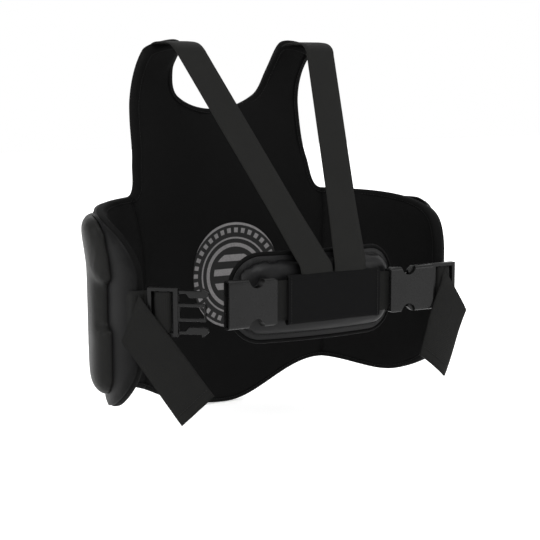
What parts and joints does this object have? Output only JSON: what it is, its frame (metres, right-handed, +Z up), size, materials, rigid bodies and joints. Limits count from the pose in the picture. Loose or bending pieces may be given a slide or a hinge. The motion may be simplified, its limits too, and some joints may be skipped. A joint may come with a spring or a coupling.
{
  "type": "chest protector",
  "caption": "Padded body guard with shoulder flaps, folding side wings, crossed-over shoulder straps, a padded back belt and side-release buckles.",
  "frame": {"origin": "on the wearer's torso axis, level with the lowest point of the front panel", "axes": "+X the wearer's left, +Y the wearer's back, +Z up"},
  "size_m": [0.5346, 0.3177, 0.515],
  "materials": {
    "lining_fabric": "smooth closed knit, dull",
    "foam": "closed-cell foam, hidden",
    "shell_leather": "matte synthetic leather, fine grain",
    "binding": "woven edge binding, stitched",
    "cushion_leather": "matte synthetic leather, fine grain",
    "webbing": "polyester webbing",
    "strap_elastic": "flat elastic webbing",
    "buckle_plastic": "moulded acetal, fine satin",
    "belt_cover": "knit sleeve",
    "pad_fabric": "smooth padded knit",
    "emblem_print": "grey heat-transfer print"
  },
  "bodies": {
    "front": {"front_lining": "lining_fabric", "front_foam": "foam", "front_cover": "shell_leather", "bottom_binding": "binding", "neck_binding": "binding", "left_armhole_binding": "binding", "right_armhole_binding": "binding", "lining_emblem": "emblem_print", "lower_belly_cushion": "cushion_leather", "upper_belly_cushion": "cushion_leather", "left_chest_cushion": "cushion_leather", "right_chest_cushion": "cushion_leather", "left_shoulder_strap": "strap_elastic", "right_shoulder_strap": "strap_elastic"},
    "left_wing": {"left_wing_lining": "lining_fabric", "left_wing_foam": "foam", "left_wing_cover": "shell_leather", "left_wing_binding": "binding", "left_side_cushion": "cushion_leather", "left_anchor_webbing": "webbing"},
    "right_wing": {"right_wing_lining": "lining_fabric", "right_wing_foam": "foam", "right_wing_cover": "shell_leather", "right_wing_binding": "binding", "right_side_cushion": "cushion_leather", "right_anchor_webbing": "webbing", "right_adjuster_webbing": "webbing", "right_buckle_plug": "buckle_plastic", "right_buckle_socket": "buckle_plastic", "belt_webbing": "webbing", "belt_cover": "belt_cover", "back_pad_base": "pad_fabric", "back_pad_foam": "pad_fabric", "back_pad_piping": "binding", "left_buckle_socket": "buckle_plastic"},
    "left_buckle": {"left_buckle_plug": "buckle_plastic", "left_adjuster_webbing": "webbing"},
    "left_upper_prong": {"left_upper_prong": "buckle_plastic"},
    "left_lower_prong": {"left_lower_prong": "buckle_plastic"},
    "right_upper_prong": {"right_upper_prong": "buckle_plastic"},
    "right_lower_prong": {"right_lower_prong": "buckle_plastic"},
    "left_tail": {"left_tail": "webbing"},
    "right_tail": {"right_tail": "webbing"}
  },
  "joints": [
    {"name": "left_wing_fold", "type": "hinge", "parent": "front", "child": "left_wing", "pos_m": [0.143, -0.09707, 0.17], "axis": [0, 0, 1], "range_deg": [-22, 3]},
    {"name": "right_wing_fold", "type": "hinge", "parent": "front", "child": "right_wing", "pos_m": [-0.143, -0.09707, 0.17], "axis": [0, 0, 1], "range_deg": [-1, 12], "deforming": ["left_shoulder_strap", "right_shoulder_strap"]},
    {"name": "left_buckle_swing", "type": "hinge", "parent": "left_wing", "child": "left_buckle", "pos_m": [0.23827, 0.06528, 0.178], "axis": [0, 0, 1], "range_deg": [-45, 4]},
    {"name": "left_tail_lift", "type": "hinge", "parent": "left_buckle", "child": "left_tail", "pos_m": [0.23928, 0.07712, 0.199], "axis": [0.7547, -0.6561, 0], "range_deg": [0, 70]},
    {"name": "right_tail_lift", "type": "hinge", "parent": "right_wing", "child": "right_tail", "pos_m": [-0.172, 0.1516, 0.212], "axis": [1, 0, 0], "range_deg": [0, 70]},
    {"name": "left_upper_prong_press", "type": "hinge", "parent": "left_buckle", "child": "left_upper_prong", "pos_m": [0.19733, 0.10087, 0.2028], "axis": [-0.6561, -0.7547, 0], "range_deg": [0, 6], "stiffness_Nm_per_rad": 0.3},
    {"name": "left_lower_prong_press", "type": "hinge", "parent": "left_buckle", "child": "left_lower_prong", "pos_m": [0.19733, 0.10087, 0.1532], "axis": [0.6561, 0.7547, 0], "range_deg": [0, 6], "stiffness_Nm_per_rad": 0.3},
    {"name": "right_upper_prong_press", "type": "hinge", "parent": "right_wing", "child": "right_upper_prong", "pos_m": [-0.15375, 0.142, 0.2128], "axis": [0, 1, 0], "range_deg": [0, 6], "stiffness_Nm_per_rad": 0.3},
    {"name": "right_lower_prong_press", "type": "hinge", "parent": "right_wing", "child": "right_lower_prong", "pos_m": [-0.15375, 0.142, 0.1632], "axis": [0, -1, 0], "range_deg": [0, 6], "stiffness_Nm_per_rad": 0.3}
  ]
}
